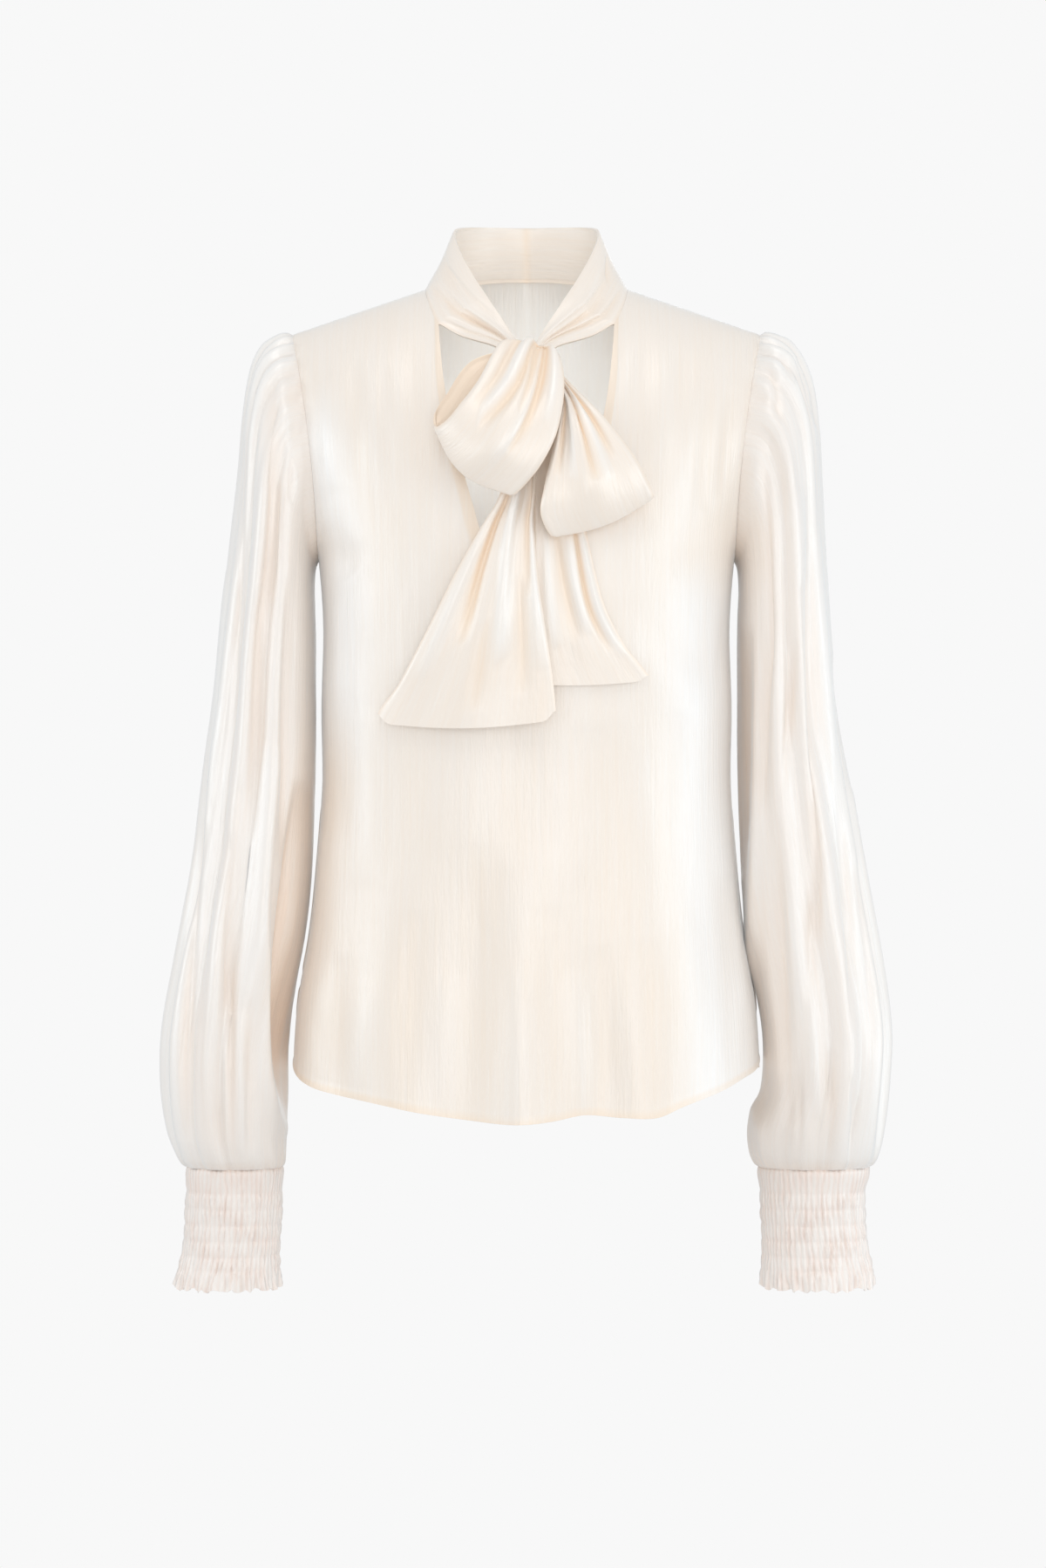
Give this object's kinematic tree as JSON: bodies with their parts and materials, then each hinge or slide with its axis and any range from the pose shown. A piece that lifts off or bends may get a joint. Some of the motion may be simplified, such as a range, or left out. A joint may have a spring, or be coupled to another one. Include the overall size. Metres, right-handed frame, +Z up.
{
  "type": "blouse",
  "caption": "Long-sleeved satin blouse in worn form: tie neck with a soft bow over a deep keyhole opening, full gathered sleeves and wide shirred cuffs.",
  "frame": {"origin": "midway between the two points where the shoulder seams meet the collar, where the wearer's neck and shoulders hold the blouse", "axes": "+Z up, the front faces -Y, +X towards the wearer's left"},
  "size_m": [0.5535, 0.2565, 0.8075],
  "materials": {
    "body_satin": "soft ivory satin with a fine vertical slub and broad pale sheen",
    "sleeve_satin": "soft ivory satin in long gathers, with a pale sheen along the folds",
    "tie_satin": "the same satin doubled, warmer where layers lie over each other",
    "cuff_satin": "the same satin shirred on elastic thread into fine upright ribs"
  },
  "bodies": {
    "root": {"front": "body_satin", "back": "body_satin", "sleeve_right": "sleeve_satin", "sleeve_left": "sleeve_satin", "cuff_right": "cuff_satin", "cuff_left": "cuff_satin", "collar": "tie_satin", "bow_knot": "tie_satin", "bow_loop_right": "tie_satin", "bow_loop_left": "tie_satin", "bow_tail_right": "tie_satin", "bow_tail_left": "tie_satin"}
  },
  "joints": []
}
